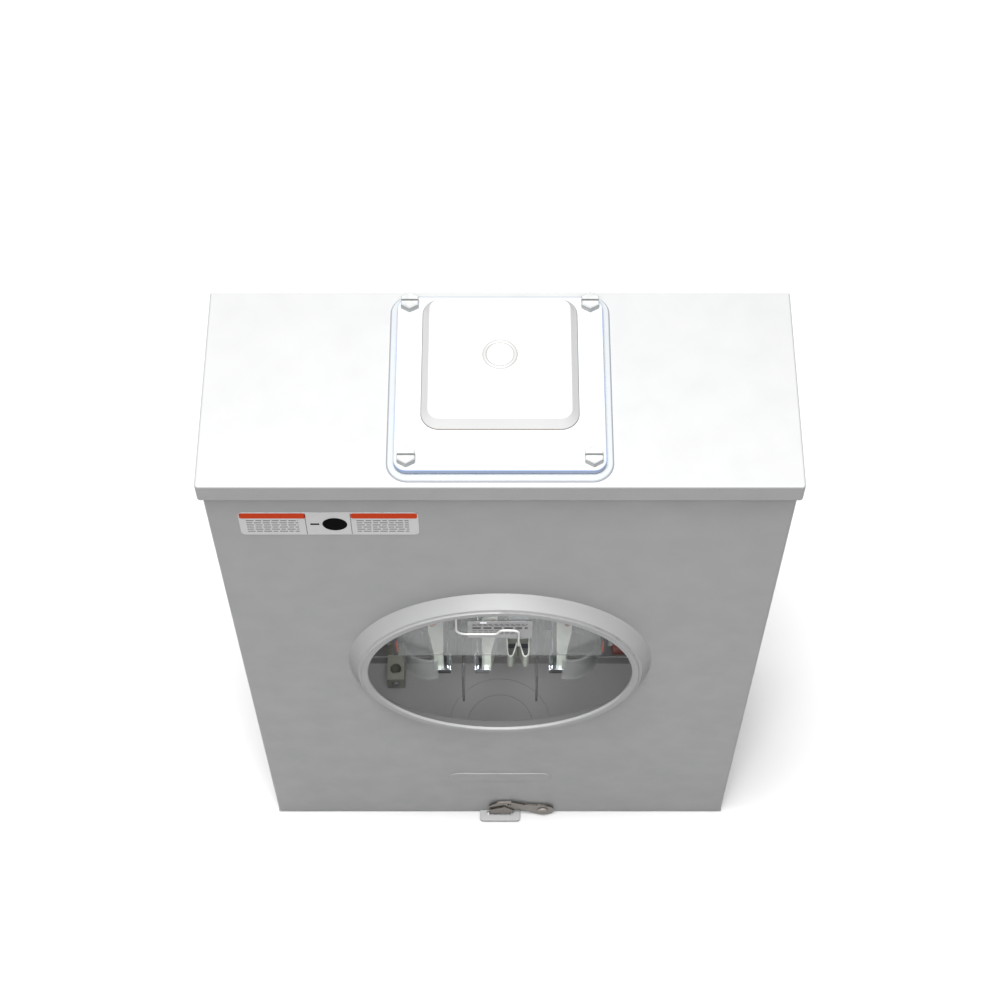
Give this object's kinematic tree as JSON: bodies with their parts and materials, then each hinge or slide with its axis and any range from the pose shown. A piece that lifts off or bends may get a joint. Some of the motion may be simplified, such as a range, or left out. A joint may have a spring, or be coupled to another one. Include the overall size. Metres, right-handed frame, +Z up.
{
  "type": "meter socket enclosure",
  "caption": "Wall-mounted ringless meter socket box with a drawn round cover opening, hub closing plate, sealing latch and blade jaws behind clear shields.",
  "frame": {"origin": "centre of the back face that lies on the wall", "axes": "+Z up, the front looks along -Y, +X to the right of a person facing the cover"},
  "size_m": [0.3302, 0.1324, 0.4969],
  "materials": {
    "grey_paint": "satin powder coat, light grey",
    "hub_paint": "satin, pale blue grey",
    "gasket_foam": "closed-cell foam",
    "zinc_screw": "zinc plated",
    "galvanised": "galvanised spangle",
    "stainless": "bead-dulled stainless",
    "label_film": "printed film",
    "thermoset": "moulded thermoset",
    "tin_plate": "tin plated",
    "spring_steel": "bright spring steel",
    "lug_aluminium": "extruded, tin plated",
    "set_screw": "machined",
    "copper": "bare copper",
    "white_pvc": "wire insulation",
    "clear_polycarbonate": "clear moulded polycarbonate",
    "red_plastic": "moulded, red orange",
    "shaft_plastic": "glass-filled nylon"
  },
  "bodies": {
    "enclosure": {"bottom_knockouts": "grey_paint", "bottom_wall": "grey_paint", "box_wrapper": "grey_paint", "bypass_plate_left": "red_plastic", "bypass_plate_right": "red_plastic", "bypass_shield": "clear_polycarbonate", "clear_guard_line_left": "clear_polycarbonate", "clear_guard_line_right": "clear_polycarbonate", "clear_guard_load_left": "clear_polycarbonate", "clear_guard_load_right": "clear_polycarbonate", "clear_trough": "clear_polycarbonate", "ground_lug": "lug_aluminium", "hub_closing_plate": "hub_paint", "hub_gasket": "gasket_foam", "hub_screws": "zinc_screw", "insulator_centre": "thermoset", "insulator_left": "thermoset", "insulator_right": "thermoset", "jaw_screws": "copper", "line_jaw_centre": "tin_plate", "line_jaw_left": "tin_plate", "line_jaw_right": "tin_plate", "line_lug_centre": "lug_aluminium", "line_lug_left": "lug_aluminium", "line_lug_right": "lug_aluminium", "line_spring_centre": "spring_steel", "line_spring_left": "spring_steel", "line_spring_right": "spring_steel", "load_jaw_centre": "tin_plate", "load_jaw_left": "tin_plate", "load_jaw_right": "tin_plate", "load_lug_centre": "lug_aluminium", "load_lug_left": "lug_aluminium", "load_lug_right": "lug_aluminium", "load_spring_centre": "spring_steel", "load_spring_left": "spring_steel", "load_spring_right": "spring_steel", "lug_screws": "set_screw", "mounting_bracket": "galvanised", "mounting_screws": "zinc_screw", "nameplate": "label_film", "neutral_bar": "lug_aluminium", "neutral_insulator": "thermoset", "neutral_jaw": "tin_plate", "neutral_jumper": "white_pvc", "side_knockouts": "grey_paint", "top_hood": "grey_paint"},
    "cover": {"front_cover": "grey_paint", "cover_label": "label_film", "latch_rivet": "stainless"},
    "latch": {"sealing_latch": "stainless"},
    "bypass": {"bypass_shaft": "shaft_plastic", "bypass_lever": "zinc_screw", "lever_grip": "red_plastic", "bypass_blade_left": "copper", "bypass_blade_centre": "copper", "bypass_blade_right": "copper"}
  },
  "joints": [
    {"name": "cover_tilt", "type": "hinge", "parent": "enclosure", "child": "cover", "pos_m": [0, -0.121, 0.23], "axis": [-1, 0, 0], "range_deg": [0, 25]},
    {"name": "latch_swing", "type": "hinge", "parent": "cover", "child": "latch", "pos_m": [0.0315, -0.1246, -0.2343], "axis": [0, 1, 0], "range_deg": [0, 95]},
    {"name": "bypass_swing", "type": "hinge", "parent": "enclosure", "child": "bypass", "pos_m": [0, -0.07, 0.0121], "axis": [-1, 0, 0], "range_deg": [0, 90]}
  ]
}
